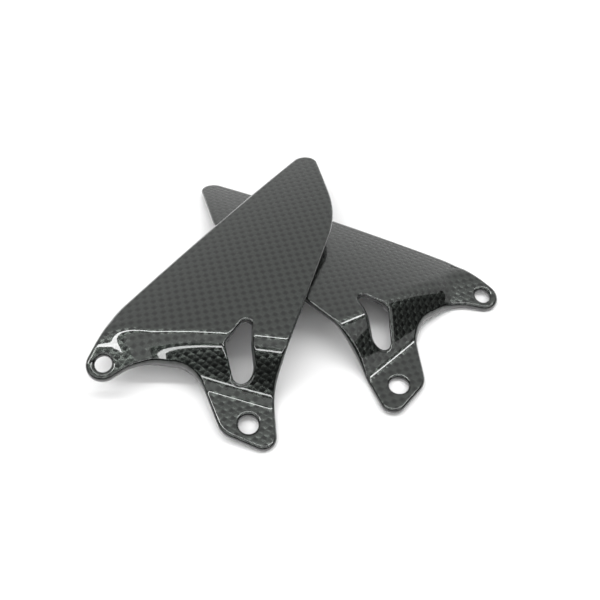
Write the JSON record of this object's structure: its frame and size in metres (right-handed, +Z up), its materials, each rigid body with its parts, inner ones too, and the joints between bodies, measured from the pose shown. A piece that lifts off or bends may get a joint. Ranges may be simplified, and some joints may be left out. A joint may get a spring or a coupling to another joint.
{
  "type": "pair of motorcycle heel guards",
  "caption": "Mirrored pair of glossy plain-weave carbon-fibre heel guards, one lying across the other, each with a broad fin, a curved slot and holes in its leg and ear.",
  "frame": {"origin": "on the floor under the middle of the pair's box", "axes": "+Z up, +Y from the guards' legs towards their fins, +X to the right with the upper guard on the left"},
  "size_m": [0.1456, 0.1316, 0.0184],
  "materials": {
    "clear_coated_weave": "plain-weave carbon fibre under a thick glossy clear coat",
    "cured_edge": "cured laminate, seen only at the trimmed and sealed edges",
    "bare_weave": "satin back of the laminate with the weave showing"
  },
  "bodies": {
    "lower_guard": {"lower_guard_face_ply": "clear_coated_weave", "lower_guard_outer_core_ply": "cured_edge", "lower_guard_inner_core_ply": "cured_edge", "lower_guard_back_ply": "bare_weave"},
    "upper_guard": {"upper_guard_face_ply": "clear_coated_weave", "upper_guard_outer_core_ply": "cured_edge", "upper_guard_inner_core_ply": "cured_edge", "upper_guard_back_ply": "bare_weave"}
  },
  "joints": [
    {"name": "upper_guard_lift", "type": "slide", "parent": "lower_guard", "child": "upper_guard", "axis": [0, 0, 1], "range_m": [0, 0.08]}
  ]
}
